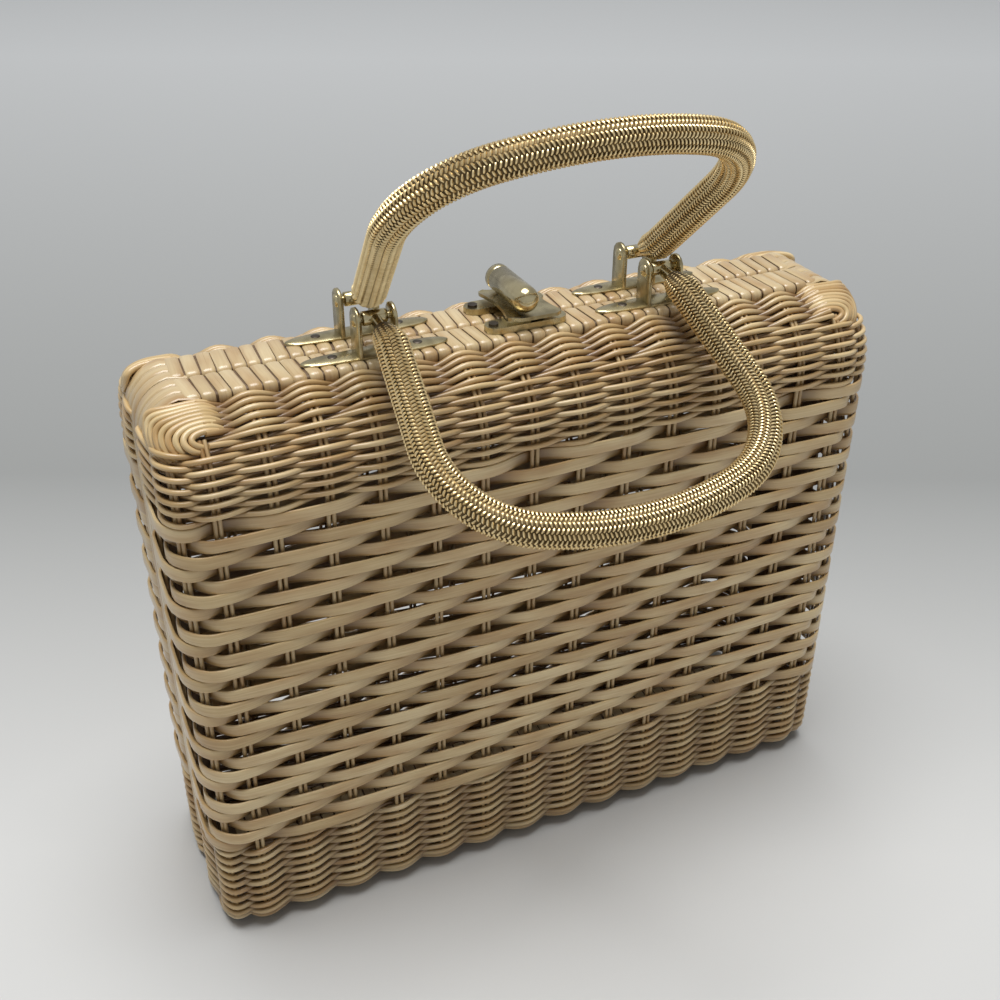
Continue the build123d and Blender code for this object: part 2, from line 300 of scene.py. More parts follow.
# Floor, light and camera
floor_size = 8000
# Floor colour by distance from the camera: the darker middle colour is painted shade, standing in for the
# dim part of the backdrop
floor_near = (0.60, 0.60, 0.59)
floor_shaded_middle = (0.285, 0.29, 0.285)
floor_far = (0.52, 0.53, 0.535)
floor_start = 300
floor_fade = 2000
floor_near_share = 0.05
floor_middle_share = 0.22
floor_far_share = 0.85
floor_rough = 0.75
lamp_size = 2600
lamp_place = (-60, 120, 4200)
lamp_power = 195
sky_colour = (0.95, 0.98, 1.0)
sky_strength = 0.2
backdrop_colour = (0.50, 0.51, 0.52)
eye = Vector((-195.8, -411.3, 434.4)) * metre
aim = Vector((-4.67, 0, 156.01)) * metre
camera_roll = 0.36
camera_lens = 45.31
sensor_size = 36

leg_length = grip_height * handle_leg_share
handle_corner_radius = grip_height * handle_corner_share
corner_run = corner_radius * math.pi / 2
half_front = bag_width / 2 - corner_radius
middle_height = bag_height / 2
rim_edge = half_depth - rim_face - rim_width
corner_draw = (corner_radius - corner_rest) / rim_edge
row_end = half_front + corner_run + half_depth - corner_radius - seam_edge
rng = np.random.default_rng(seed)


def profile(v):
    """Inward distance, height and slope angle of a half's face at distance v up or down from mid-height."""
    hand = np.where(v < 0, -1.0, 1.0)
    distance = np.abs(v)
    radius = np.where(v < 0, roll_radius, shoulder_radius)
    wall = middle_height - radius
    turn = np.clip((distance - wall) / radius, 0, math.pi / 2)
    along_lid = np.clip(distance - wall - radius * math.pi / 2, 0, None)
    inset = radius * (1 - np.cos(turn)) + along_lid
    height = middle_height + hand * (np.minimum(distance, wall) + radius * np.sin(turn))
    return inset, height, hand * turn


def edge_reach(radius):
    """Distance from mid-height over a rounded edge to the rim."""
    turn = min(math.acos(max(1 - rim_edge / radius, 0)), math.pi / 2)
    along_lid = max(rim_edge - radius, 0)
    return middle_height - radius + radius * turn + along_lid


def place(s, v, w):
    """Points and outward directions on a half: s across the front, v up from mid-height, w outwards."""
    s, v, w = np.broadcast_arrays(*(np.asarray(value, float) for value in (s, v, w)))
    inset, z, slope = profile(v)
    hand = np.where(s < 0, -1.0, 1.0)
    distance = np.abs(s)
    turn = np.clip((distance - half_front) / corner_radius, 0, math.pi / 2)
    along_side = np.clip(distance - half_front - corner_run, 0, None)
    reach = corner_radius - corner_draw * inset
    x = hand * (np.minimum(distance, half_front) + reach * np.sin(turn))
    y = inset - half_depth + reach * (1 - np.cos(turn)) + along_side
    outward = np.cos(slope)
    normals = np.stack([hand * np.sin(turn) * outward, -np.cos(turn) * outward, np.sin(slope)], axis=1)
    return np.stack([x, y, z], axis=1) + w[:, None] * normals, normals


def side_end(v):
    """Distance along a row at height v at which it meets the seam."""
    inset, _, _ = profile(np.asarray(v, float))
    return row_end - float(inset) * (1 - corner_draw)


lid_edge = edge_reach(shoulder_radius)
base_edge = edge_reach(roll_radius)
turn_centre = lid_edge - top_rows * top_pitch


def circle(radius, sides):
    """Round section."""
    angles = np.arange(sides) * 2 * math.pi / sides
    return radius * np.stack([np.cos(angles), np.sin(angles)], axis=1)


def strip(width, thickness, edge):
    """Section of a flat strip with rounded edges and a low crown."""
    half = width / 2
    rise = thickness / 2
    lip = (half - edge * strip_lip_share, rise * strip_lip_rise_share)
    brow = (half - edge, rise * strip_brow_rise_share)
    crown = (half * strip_crown_share, rise)
    foot = (half - edge * strip_foot_share, -rise)
    right = [foot, (half, 0), lip, brow, crown]
    left = [(-x, y) for x, y in reversed(right)]
    return np.array(right + left)


def unit(vectors):
    """The same directions with length one."""
    return vectors / np.linalg.norm(vectors, axis=-1, keepdims=True)


class Bundle:
    """Swept pieces gathered into one mesh, each with a tone of its own, its grain along its length and a
    share of painted shade.
    """

    def __init__(self):
        """Starts with nothing gathered."""
        self.points = []
        self.faces = []
        self.tones = []
        self.painted_shade_shares = []
        self.grains = []
        self.total = 0
        self.count = 0

    def sweep(self, points, normals, section, tone=plain_tone, closed=False, painted_shade_share=0):
        """Carries a section along points, its second axis towards the normals."""
        if closed:
            tangents = unit(np.roll(points, -1, axis=0) - np.roll(points, 1, axis=0))
        else:
            tangents = unit(np.gradient(points, axis=0))
        inward = np.sum(normals * tangents, axis=1, keepdims=True)
        upright = unit(normals - tangents * inward)
        across = np.cross(tangents, upright)
        section = np.broadcast_to(section, (len(points),) + section.shape[-2:])
        sideways = across[:, None, :] * section[:, :, 0:1]
        outwards = upright[:, None, :] * section[:, :, 1:2]
        rings = points[:, None, :] + sideways + outwards
        ring_count, side_count = rings.shape[:2]
        step = np.arange(side_count)
        after = (step + 1) % side_count
        for ring in range(ring_count if closed else ring_count - 1):
            low = self.total + ring * side_count
            high = self.total + ((ring + 1) % ring_count) * side_count
            self.faces.extend(zip(low + step, high + step, high + after, low + after))
        if not closed:
            self.faces.append(tuple(self.total + step))
            self.faces.append(tuple(self.total + (ring_count - 1) * side_count + step[::-1]))
        lengths = np.concatenate([[0], np.cumsum(np.linalg.norm(np.diff(points, axis=0), axis=1))])
        grain = np.zeros((ring_count, side_count, 3))
        grain[:, :, 0] = lengths[:, None]
        grain[:, :, 1] = section[:, :, 0]
        grain[:, :, 2] = self.count
        self.points.append(rings.reshape(-1, 3))
        self.grains.append(grain.reshape(-1, 3))
        self.tones.append(np.full(ring_count * side_count, tone))
        self.painted_shade_shares.append(np.repeat(np.broadcast_to(painted_shade_share, ring_count), side_count))
        self.total += ring_count * side_count
        self.count += 1

    def piece(self, name, body, material, slot, mirrored=False):
        """Makes the mesh and lets it ride on a body."""
        points = np.concatenate(self.points) * metre
        if mirrored:
            points[:, 1] *= -1
        mesh = bpy.data.meshes.new(name)
        mesh.from_pydata(points.tolist(), [], [tuple(int(i) for i in face) for face in self.faces])
        if mirrored:
            mesh.flip_normals()
        tone = mesh.attributes.new("tone", "FLOAT", "POINT")
        tone.data.foreach_set("value", np.concatenate(self.tones))
        # Share of painted shade, greater where a strand lies deep
        painted_shade = mesh.attributes.new("painted_shade_share", "FLOAT", "POINT")
        painted_shade.data.foreach_set("value", np.concatenate(self.painted_shade_shares).astype(float))
        grain = mesh.attributes.new("grain", "FLOAT_VECTOR", "POINT")
        grain.data.foreach_set("vector", np.concatenate(self.grains).ravel())
        mesh.shade_smooth()
        mesh.set_sharp_from_angle(angle=math.radians(sharp_angle))
        mesh.materials.append(material)
        piece = bpy.data.objects.new(name, mesh)
        bpy.context.scene.collection.objects.link(piece)
        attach(piece, body)
        return piece


def stake_places():
    """Distances of the stakes from the middle of the front, from the left seam to the right one."""
    front = [(index - (stake_count - 1) / 2) * stake_pitch for index in range(stake_count)]
    corner = half_front + corner_run * corner_stake_share
    side = half_front + corner_run + half_depth - corner_radius - side_stake_y
    return np.array([-side, -corner] + front + [corner, side])


stakes = stake_places()
knots = np.concatenate([[-row_end], stakes, [row_end]])


def row_places(first, last):
    """Sample distances along a row, evenly between its stakes."""
    inner = knots[(knots > first) & (knots < last)]
    ends = np.concatenate([[first], inner, [last]])
    spans = [np.linspace(low, high, row_samples, endpoint=False) for low, high in zip(ends, ends[1:])]
    return np.concatenate(spans + [[last]])


def between_knots(s):
    """Knot before each sample of a row, and the sample's share of the way to the next knot."""
    index = np.clip(np.searchsorted(knots, s, side="right") - 1, 0, len(knots) - 2)
    return index, (s - knots[index]) / (knots[index + 1] - knots[index])


def eased(s, values, bulge=0):
    """Values at the knots joined by smooth steps, and bowed out where two in a row are alike."""
    index, share = between_knots(s)
    low = values[index]
    high = values[index + 1]
    alike = np.where(low == high, np.sign(low), 0)
    return low + (high - low) * (1 - np.cos(math.pi * share)) / 2 + bulge * alike * np.sin(math.pi * share)


def wander(amount):
    """Small uneven shifts at the knots."""
    return rng.normal(0, amount / 2, len(knots))


def sunk_share(w):
    """How far a strand lies behind the face, from 0 outside to 1 inside, which sets how much painted shade
    it gets.
    """
    return np.clip(-np.asarray(w, float) / recess_depth, 0, 1) ** recess_power


def lay(bundle, s, v, w, section):
    """Sweeps a strand over a half's face, in a tone of its own, with painted shade where it lies deep."""
    points, normals = place(s, v, w)
    bundle.sweep(points, normals, section, rng.uniform(0, 1), painted_shade_share=sunk_share(w))


def weave_flat(bundle, width, lift):
    """Flat rows over two stakes and behind one, each a stake on from the row below."""
    section = strip(width, flat_thickness, flat_edge)
    pitch = (flat_top - flat_bottom) / flat_rows
    s = row_places(-row_end, row_end)
    for row in range(flat_rows):
        lifts = np.full(len(knots), lift)
        for index in range(len(knots)):
            if (row - index) % twill_repeat == 0:
                lifts[index] = -lift
        lifts[[0, -1]] = -seam_dive
        v = flat_bottom + (row + 0.5) * pitch - middle_height + eased(s, wander(flat_wander))
        w = eased(s, lifts, flat_bulge) - stake_depth
        lay(bundle, s, v, w, section)


def weave_plain(bundle):
    """Round rows over one stake and behind the next."""
    section = circle(plain_radius, round_sides)
    pitch = (turn_centre + middle_height - flat_top) / plain_rows
    for row in range(plain_rows):
        v_row = flat_top + (row + 0.5) * pitch - middle_height
        reach = turn_start if row >= plain_rows - turned_rows else side_end(v_row)
        s = row_places(-reach, reach)
        lifts = plain_lift * (-1.0) ** (row + np.arange(len(knots)))
        lifts[[0, -1]] = -seam_dive
        v = v_row + eased(s, wander(round_wander))
        w = eased(s, lifts) - stake_depth
        lay(bundle, s, v, w, section)


def twine(bundle, v_row, reach, sink, scallop):
    """A pair of round reeds that twist about each other, one in front of each stake."""
    section = circle(twined_radius, round_sides)
    s = row_places(-reach, reach)
    uneven = eased(s, wander(round_wander))
    for strand in range(2):
        lifts = twined_lift * (-1.0) ** (strand + np.arange(len(knots)))
        lifts[[0, -1]] = -seam_dive
        index, share = between_knots(s)
        rising = np.sign(lifts[index + 1] - lifts[index])
        between = np.sin(math.pi * share) ** 2
        v = v_row + uneven - twined_part * rising * between
        w = eased(s, lifts) - stake_depth - scallop * between - sink
        lay(bundle, s, v, w, section)


def weave_twined(bundle):
    """Twined rows on the top and on the lower part."""
    for row in range(top_rows):
        twine(bundle, lid_edge - (row + 0.5) * top_pitch, turn_start, top_sink, top_scallop)
    low = flat_bottom - middle_height
    rows = int((low + base_edge) / twined_pitch)
    for row in range(rows):
        v_row = low - (row + 0.5) * twined_pitch
        on_wall = -v_row < middle_height
        reach = side_end(v_row) if on_wall else half_front
        twine(bundle, v_row, reach, bottom_sink, bottom_scallop)


def weave_turns(bundle):
    """Reeds of the top rows that come out from under them and turn back round the upper corners."""
    section = circle(twined_radius, round_sides)
    step = top_pitch / 2
    lead = np.linspace(-turn_lead, 0, turn_lead_samples, endpoint=False)
    share = np.linspace(0, 1, turn_samples)
    lead_depth = turn_dive * (lead / turn_lead) ** turn_lead_power
    depth = np.concatenate([lead_depth, turn_dive * share**turn_dive_power])
    for hand in (-1, 1):
        for strand in range(1, 2 * top_rows):
            radius = (strand + 0.5) * step
            angle = math.pi * (1 if strand < turn_full_rows else turn_end_share) * share
            along = np.concatenate([lead, turn_stretch * radius * np.sin(angle)])
            v = turn_centre + radius * np.concatenate([np.ones(turn_lead_samples), np.cos(angle)])
            points, normals = place(hand * (turn_start + along), v, -twined_radius - top_sink - depth)
            bundle.sweep(points, normals, section, rng.uniform(0, 1))


def weave_round(bundle):
    """All the round reeds of a half."""
    weave_plain(bundle)
    weave_twined(bundle)
    weave_turns(bundle)


def set_stakes(bundle):
    """Pairs of upright stakes that turn over the top and under the bottom, except near the sides."""
    section = circle(stake_radius, round_sides)
    for index, stake in enumerate(stakes):
        from_end = min(index, len(stakes) - 1 - index)
        low = base_edge
        top = lid_edge
        if from_end < side_stakes:
            low = corner_stake_reach
            top = corner_stake_reach
        elif from_end == side_stakes:
            top = turn_centre
        v = np.linspace(-low, top, int((low + top) / stake_step))
        for hand in (-1, 1):
            drift = stake_wander * np.sin(v / bag_height * math.tau + rng.uniform(0, math.tau))
            lay(bundle, stake + hand * stake_spread + drift, v, -stake_depth, section)


def rounded_loop(width, height, radius, steps):
    """Points and outward directions round a rectangle with round corners, centred on zero."""
    points = []
    normals = []
    corners = ((1, 1), (-1, 1), (-1, -1), (1, -1))
    for quarter, (right, up) in enumerate(corners):
        for step in range(steps + 1):
            angle = math.pi / 2 * (quarter + step / steps)
            normal = (math.cos(angle), math.sin(angle))
            x = right * (width / 2 - radius) + radius * normal[0]
            y = up * (height / 2 - radius) + radius * normal[1]
            points.append((x, y))
            normals.append(normal)
    return np.array(points), np.array(normals)


def wrap_rim(bundle):
    """Flat cane wound round the top and the bottom of a rim."""
    loop_width = rim_width - wrap_thickness
    loop_height = rim_thickness - wrap_thickness
    loop, out = rounded_loop(loop_width, loop_height, rim_corner, loop_steps)
    normals = np.stack([np.zeros(len(out)), out[:, 0], out[:, 1]], axis=1)
    middle_y = -rim_face - rim_width / 2
    count = int(wrap_span / wrap_pitch)
    for middle_z in (bag_height - rim_thickness / 2, rim_drop + rim_thickness / 2):
        for index in range(count):
            x = (index - (count - 1) / 2) * wrap_pitch + rng.normal(0, wrap_pitch * wrap_uneven_share)
            slant = wrap_slant + rng.normal(0, wrap_slant * slant_uneven_share)
            width = wrap_width + rng.normal(0, wrap_width * wrap_uneven_share)
            section = strip(width, wrap_thickness, wrap_thickness)
            slanted = x - slant * loop[:, 0] / rim_width
            points = np.stack([slanted, middle_y + loop[:, 0], middle_z + loop[:, 1]], axis=1)
            bundle.sweep(points, normals, section, rng.uniform(0, 1), closed=True)


def lay_rim_strips(bundle):
    """Flat strips laid along a rim where it turns down the sides, under the ends of the rows."""
    section = strip(strip_width, wrap_thickness, wrap_thickness)
    low = rim_drop + corner_radius
    high = bag_height - corner_radius
    turn = np.linspace(0, math.pi / 2, loop_steps * 2)
    inset = wrap_thickness / 2 + (side_inset - wrap_thickness / 2) * np.sin(turn)
    reach = corner_radius - inset
    upper = np.stack([half_front + reach * np.sin(turn), high + reach * np.cos(turn)], axis=1)
    lower = np.stack([upper[::-1, 0], low + high - upper[::-1, 1]], axis=1)
    first = [[strip_start, upper[0, 1] - wrap_thickness]]
    last = [[strip_start, lower[-1, 1] + wrap_thickness]]
    line = np.concatenate([first, upper, lower, last])
    out = np.concatenate([turn[:1], turn, math.pi - turn[::-1], [math.pi]])
    for hand in (-1, 1):
        for index in range(corner_strips):
            y = -rim_face - rim_width * (index + 0.5) / corner_strips
            points = np.stack([hand * line[:, 0], np.full(len(line), y), line[:, 1]], axis=1)
            normals = np.stack([hand * np.sin(out), 0 * out, np.cos(out)], axis=1)
            bundle.sweep(points, normals, section, rng.uniform(0, 1))


def dress_rim(bundle):
    """All the cane of a rim."""
    wrap_rim(bundle)
    lay_rim_strips(bundle)


def core_rim(bundle):
    """Hoop under the cane."""
    width = bag_width - 2 * side_inset - rim_thickness
    height = bag_height - rim_drop - rim_thickness
    loop, out = rounded_loop(width, height, corner_radius, loop_steps * 2)
    middle_z = (bag_height + rim_drop) / 2
    middle_y = -rim_face - rim_width / 2
    points = np.stack([loop[:, 0], np.full(len(loop), middle_y), middle_z + loop[:, 1]], axis=1)
    normals = np.stack([out[:, 0], 0 * out[:, 0], out[:, 1]], axis=1)
    core_width = rim_width - 2 * core_inset
    core_height = rim_thickness - 2 * core_inset
    section, _ = rounded_loop(core_width, core_height, rim_corner - core_inset, loop_steps)
    bundle.sweep(points, normals, section, 1, closed=True)


def handle_axes(side, leg_angle):
    """Middle of a handle's roots, and the directions along its legs and along its ferrules."""
    leg = math.radians(leg_angle)
    root = math.radians(leg_angle + root_bend)
    along = np.array([0, side * math.cos(leg), math.sin(leg)])
    axis = np.array([0, side * math.cos(root), math.sin(root)])
    middle = np.array([0, side * bracket_offset, pin_z]) + axis * ferrule_length
    return middle, along, axis


def bow_line():
    """A handle's centre line in its own plane, from the right root to the left one."""
    lean = math.sin(math.radians(leg_splay))
    rise = math.cos(math.radians(leg_splay))
    start = np.array([bracket_spread + collar_length * lean, collar_length * rise])
    leg_end = start + leg_length * np.array([lean, rise])
    centre = leg_end + handle_corner_radius * np.array([-rise, lean])
    drop = grip_height - centre[1]
    grip_radius = (centre[0] ** 2 + drop**2 - handle_corner_radius**2) / (2 * (drop - handle_corner_radius))
    grip_centre = grip_height - grip_radius
    join = math.atan2(centre[1] - grip_centre, centre[0])
    corner = np.linspace(-math.radians(leg_splay), join, bow_steps)
    grip = np.linspace(join, math.pi / 2, bow_steps)
    corner_points = centre + handle_corner_radius * np.stack([np.cos(corner), np.sin(corner)], axis=1)
    grip_points = grip_radius * np.stack([np.cos(grip), np.sin(grip)], axis=1) + [0, grip_centre]
    half = np.concatenate([[start], corner_points, grip_points[1:]])
    other = half[-2::-1] * [-1, 1]
    return np.concatenate([half, other])


def bow_path(side, leg_angle):
    """A handle's mesh line from root to root: its length, its facing, and points and axes by length."""
    middle, along, axis = handle_axes(side, leg_angle)
    across = np.array([1.0, 0, 0])
    bow = middle + bow_line() @ np.array([across, along])
    root = (mesh_root - ferrule_length) * axis
    roots = [middle + hand * bracket_spread * across for hand in (1, -1)]
    line = np.concatenate([[roots[0] + root, roots[0]], bow, [roots[1], roots[1] + root]])
    lengths = np.concatenate([[0], np.cumsum(np.linalg.norm(np.diff(line, axis=0), axis=1))])
    facing = np.cross(across, along)
    step = lengths[-1] / len(lengths)

    def follow(length):
        """Points of the line at some lengths."""
        return np.stack([np.interp(length, lengths, values) for values in line.T], axis=1)

    def at(length):
        """Points at some lengths, and the second axis of the section there."""
        inside = np.clip(length, 0, lengths[-1])
        tangent = unit(follow(inside + step) - follow(inside - step))
        return follow(inside), np.cross(tangent, facing)

    return lengths[-1], facing, at


def root_share(length, whole):
    """Share of the full radius along a handle's mesh, drawn in at both roots."""
    near = np.clip(np.minimum(length, whole - length) / mesh_root_run, 0, 1)
    return mesh_root_share + (1 - mesh_root_share) * np.sin(near * math.pi / 2)


def knit_handle(bundle, side, leg_angle):
    """Wire mesh in columns of short slanted loops round a handle."""
    whole, facing, at = bow_path(side, leg_angle)
    width = math.tau / wire_columns
    share = np.linspace(0, 1, wire_samples)
    bulge = np.sin(math.pi * share)
    thickening = loop_tip_share + (1 - loop_tip_share) * bulge
    section = circle(wire_radius, wire_sides)[None] * thickening[:, None, None]
    rows = int((whole - wire_reach) / wire_pitch)
    for column in range(wire_columns):
        odd = column % 2
        angle = width * (column + loop_gap_share + (1 - 2 * loop_gap_share) * share)
        slant = wire_reach * (share if odd else 1 - share)
        for row in range(rows):
            length = (row + odd / 2) * wire_pitch + slant
            centres, sideways = at(length)
            out = np.cos(angle)[:, None] * facing + np.sin(angle)[:, None] * sideways
            radius = sleeve_radius * root_share(length, whole) - wire_radius + wire_lift * (bulge - 1)
            bundle.sweep(centres + radius[:, None] * out, out, section, rng.uniform(0, 1))


def core_handle(bundle, side, leg_angle):
    """Dark tube under the wire mesh, its near-black colour painted shade between the loops."""
    whole, facing, at = bow_path(side, leg_angle)
    length = np.linspace(0, whole, int(whole / core_step))
    points, _ = at(length)
    normals = np.broadcast_to(facing, points.shape)
    section = circle(sleeve_core, tube_sides)[None] * root_share(length, whole)[:, None, None]
    bundle.sweep(points, normals, section, 0)


def lathe(bundle, origin, axis, steps):
    """Turned piece: steps of (distance, radius) along an axis."""
    origin = np.asarray(origin, float)
    axis = unit(np.asarray(axis, float))
    spare = np.array([0, 0, 1.0]) if abs(axis[2]) < steep_axis_share else np.array([1.0, 0, 0])
    points = origin + np.array([distance for distance, _ in steps])[:, None] * axis
    normals = np.broadcast_to(np.cross(axis, spare), points.shape)
    radii = np.array([radius for _, radius in steps])
    section = circle(1, smooth_sides)[None] * radii[:, None, None]
    bundle.sweep(points, normals, section)


def dome(start, length, radius, count):
    """Steps of a rounded end that closes at start + length."""
    angles = np.linspace(0, math.pi / 2, count + 1)[1:]
    angles[-1] *= dome_end_share
    return [(start + length * math.sin(a), radius * math.cos(a)) for a in angles]


def make_barrel(bundle):
    """Turn-clasp knob with a domed front end and a scribed line near its back end."""
    length = barrel_back - barrel_front
    straight = length - barrel_radius
    steps = [(0, barrel_radius - barrel_chamfer), (barrel_chamfer, barrel_radius)]
    steps += [(scribe_back, barrel_radius), (scribe_back + scribe_width / 2, barrel_radius - scribe_depth)]
    steps += [(scribe_back + scribe_width, barrel_radius), (straight, barrel_radius)]
    steps += dome(straight, barrel_radius, barrel_radius, barrel_dome_steps)
    lathe(bundle, (0, barrel_back, barrel_z), (0, -1, 0), steps)


def make_saddle(bundle):
    """Plate under the knob, drawn in at its sides and turned up along its left edge."""
    along = np.linspace(-1, 1, saddle_steps)
    half = saddle_waist / 2 + (saddle_width - saddle_waist) / 2 * along**2
    half = half * np.sqrt(1 - saddle_end_share * np.abs(along) ** saddle_bluntness)
    across = np.linspace(-1, 1, saddle_steps)
    turned_up = saddle_lip * np.clip(-across, 0, 1) ** saddle_lip_power
    top = np.stack([across, turned_up + saddle_thickness], axis=1)
    bottom = np.stack([across, turned_up], axis=1)[::-1]
    outline = np.concatenate([top, bottom])
    section = outline[None] * np.stack([half, np.ones_like(half)], axis=1)[:, None, :]
    points = np.array([saddle_x, 0, saddle_bottom]) + along[:, None] * np.array([0, saddle_length / 2, 0])
    bundle.sweep(points, np.broadcast_to([0.0, 0, 1], points.shape), section)


def make_ferrule(bundle, hand, side, leg_angle):
    """Root of a handle: an eye round the pin and a slim taper into the mesh."""
    _, _, axis = handle_axes(side, leg_angle)
    pin = np.array([hand * bracket_spread, side * bracket_offset, pin_z])
    ring = [(0, knuckle_radius - knuckle_edge), (knuckle_edge, knuckle_radius)]
    ring += [(knuckle_width - knuckle_edge, knuckle_radius), (knuckle_width, knuckle_radius - knuckle_edge)]
    lathe(bundle, pin - np.array([knuckle_width / 2, 0, 0]), (1, 0, 0), ring)
    widening = ferrule_end_radius - ferrule_neck_radius
    shares = np.linspace(0, 1, ferrule_steps)
    taper = [(ferrule_length * share, ferrule_neck_radius + widening * share) for share in shares]
    lathe(bundle, pin, axis, taper)


def make_pin(bundle, hand, side):
    """Rivet with domed heads through both ears of a bracket."""
    reach = ear_gap / 2 + ear_thickness
    y = side * bracket_offset
    for way in (-1, 1):
        steps = [(0, pin_radius), (reach, pin_radius), (reach, pin_head_radius)]
        steps += dome(reach, pin_head_height, pin_head_radius, pin_dome_steps)
        lathe(bundle, (hand * bracket_spread, y, pin_z), (way, 0, 0), steps)


def make_bracket(bundle, hand, side):
    """Slim domed leaf plate on a rim, with two upright ears for the handle's pin."""
    middle = np.array([hand * bracket_spread, side * bracket_offset, bag_height])
    along = np.sin(np.linspace(-math.pi / 2, math.pi / 2, plate_steps))
    narrowing = (plate_half_width - plate_end_half_width) * np.abs(along)
    widths = (plate_half_width - narrowing) * np.sqrt(1 - np.abs(along) ** plate_bluntness)
    widths[[0, -1]] = plate_edge / 2
    heights = plate_edge + (plate_height - plate_edge) * widths / plate_half_width
    rise = np.array([0, plate_edge_share, plate_brow_share, 1, plate_brow_share, plate_edge_share, 0])
    spread = np.array([1, 1, plate_brow_reach_share, 0, -plate_brow_reach_share, -1, -1])
    section = np.stack([widths[:, None] * spread, heights[:, None] * rise], axis=2)
    points = middle + along[:, None] * np.array([plate_length / 2, 0, 0])
    upright = np.broadcast_to([0.0, 0, 1], points.shape)
    bundle.sweep(points, upright, section)
    tip = pin_z - bag_height
    turn = np.linspace(0, math.pi, ear_steps)
    crown = np.stack([ear_width / 2 * np.cos(turn), tip + ear_width / 2 * np.sin(turn)], axis=1)
    outline = np.concatenate([[(-ear_width / 2, ear_foot), (ear_width / 2, ear_foot)], crown])
    inner = outline * [1 - 2 * ear_edge / ear_width, 1 - ear_edge / tip]
    for way in (-1, 1):
        near = way * ear_gap / 2
        far = way * (ear_gap / 2 + ear_thickness)
        steps = [near, near + way * ear_edge, far - way * ear_edge, far]
        places = middle + np.array(steps)[:, None] * np.array([1, 0, 0])
        upright = np.broadcast_to([0.0, 0, 1], places.shape)
        bundle.sweep(places, upright, np.stack([inner, outline, outline, inner]))


def make_screw(bundle, middle):
    """Low lens head of a countersunk screw."""
    steps = [(-screw_height, screw_radius)] + dome(0, screw_height, screw_radius, screw_dome_steps)
    lathe(bundle, middle, (0, 0, 1), steps)


def make_heads(bundle, side):
    """Screw heads on the two brackets of a half."""
    seat = bag_height + plate_height * screw_seat_share
    for x in (-bracket_spread, bracket_spread):
        for way in (-1, 1):
            make_screw(bundle, (x + way * screw_spacing / 2, side * bracket_offset, seat))


def start_material(name):
    """New material with its nodes, links and main shader."""
    material = bpy.data.materials.new(name)
    material.use_nodes = True
    tree = material.node_tree
    return material, tree.nodes, tree.links, tree.nodes["Principled BSDF"]


def attribute(nodes, name):
    """Outputs of a node that reads a mesh attribute."""
    node = nodes.new("ShaderNodeAttribute")
    node.attribute_name = name
    return node.outputs


def scaled(nodes, links, vector, scales):
    """Vector output scaled along each of its axes."""
    node = nodes.new("ShaderNodeMapping")
    node.inputs["Scale"].default_value = scales
    links.new(vector, node.inputs["Vector"])
    return node.outputs["Vector"]


def noise(nodes, links, vector, scale, detail):
    """Noise texture on a vector output."""
    texture = nodes.new("ShaderNodeTexNoise")
    texture.inputs["Scale"].default_value = scale
    texture.inputs["Detail"].default_value = detail
    links.new(vector, texture.inputs["Vector"])
    return texture.outputs["Fac"]


def ramp(nodes, links, value, shares, colours):
    """Colour ramp with a colour at each share of the way."""
    node = nodes.new("ShaderNodeValToRGB")
    elements = node.color_ramp.elements
    for share in shares[1:-1]:
        elements.new(share)
    for element, share, colour in zip(elements, shares, colours):
        element.position = share
        element.color = (*colour, 1)
    links.new(value, node.inputs["Fac"])
    return node.outputs["Color"]


def remap(nodes, links, value, low, high):
    """Value from 0 to 1 moved to low and high."""
    node = nodes.new("ShaderNodeMapRange")
    node.inputs["To Min"].default_value = low
    node.inputs["To Max"].default_value = high
    links.new(value, node.inputs["Value"])
    return node.outputs["Result"]


def blend_colour(nodes, links, kind, factor, first, second):
    """Two colour outputs mixed by a factor."""
    node = nodes.new("ShaderNodeMix")
    node.data_type = "RGBA"
    node.blend_type = kind
    node.inputs["Factor"].default_value = factor
    links.new(first, node.inputs["A"])
    links.new(second, node.inputs["B"])
    return node.outputs["Result"]


def bump(nodes, links, height, strength, distance):
    """Normal output from a height."""
    node = nodes.new("ShaderNodeBump")
    node.inputs["Strength"].default_value = strength
    node.inputs["Distance"].default_value = distance * metre
    links.new(height, node.inputs["Height"])
    return node.outputs["Normal"]


def reed_material(name, tones, rough, gloss):
    """Split reed: tone of its own for each strand, long fibres, warm stains, a lacquer sheen and painted
    shade where strands lie deep.
    """
    material, nodes, links, shader = start_material(name)
    grain = attribute(nodes, "grain")["Vector"]
    fibre = noise(nodes, links, scaled(nodes, links, grain, fibre_scales), grain_scale, fibre_detail)
    stain = noise(nodes, links, scaled(nodes, links, grain, stain_scales), grain_scale, stain_detail)
    by_tone = ramp(nodes, links, attribute(nodes, "tone")["Fac"], tone_shares, tones)
    by_fibre = ramp(nodes, links, fibre, fibre_shares, tones[::-1])
    colour = blend_colour(nodes, links, "MIX", fibre_weight, by_tone, by_fibre)
    stained = ramp(nodes, links, stain, stain_shares, (no_tint, stain_tint))
    colour = blend_colour(nodes, links, "MULTIPLY", stain_weight, colour, stained)
    # Painted shade: darker the deeper a strand lies behind the face
    painted_shade = ramp(nodes, links, attribute(nodes, "painted_shade_share")["Fac"], (0, 1), (no_tint, painted_recess_shade))
    colour = blend_colour(nodes, links, "MULTIPLY", painted_shade_weight, colour, painted_shade)
    roughness = remap(nodes, links, fibre, rough - fibre_smoother, rough + fibre_rougher)
    links.new(colour, shader.inputs["Base Color"])
    links.new(roughness, shader.inputs["Roughness"])
    links.new(bump(nodes, links, fibre, fibre_strength, fibre_height), shader.inputs["Normal"])
    shader.inputs["Coat Weight"].default_value = gloss
    shader.inputs["Coat Roughness"].default_value = lacquer_rough
    return material


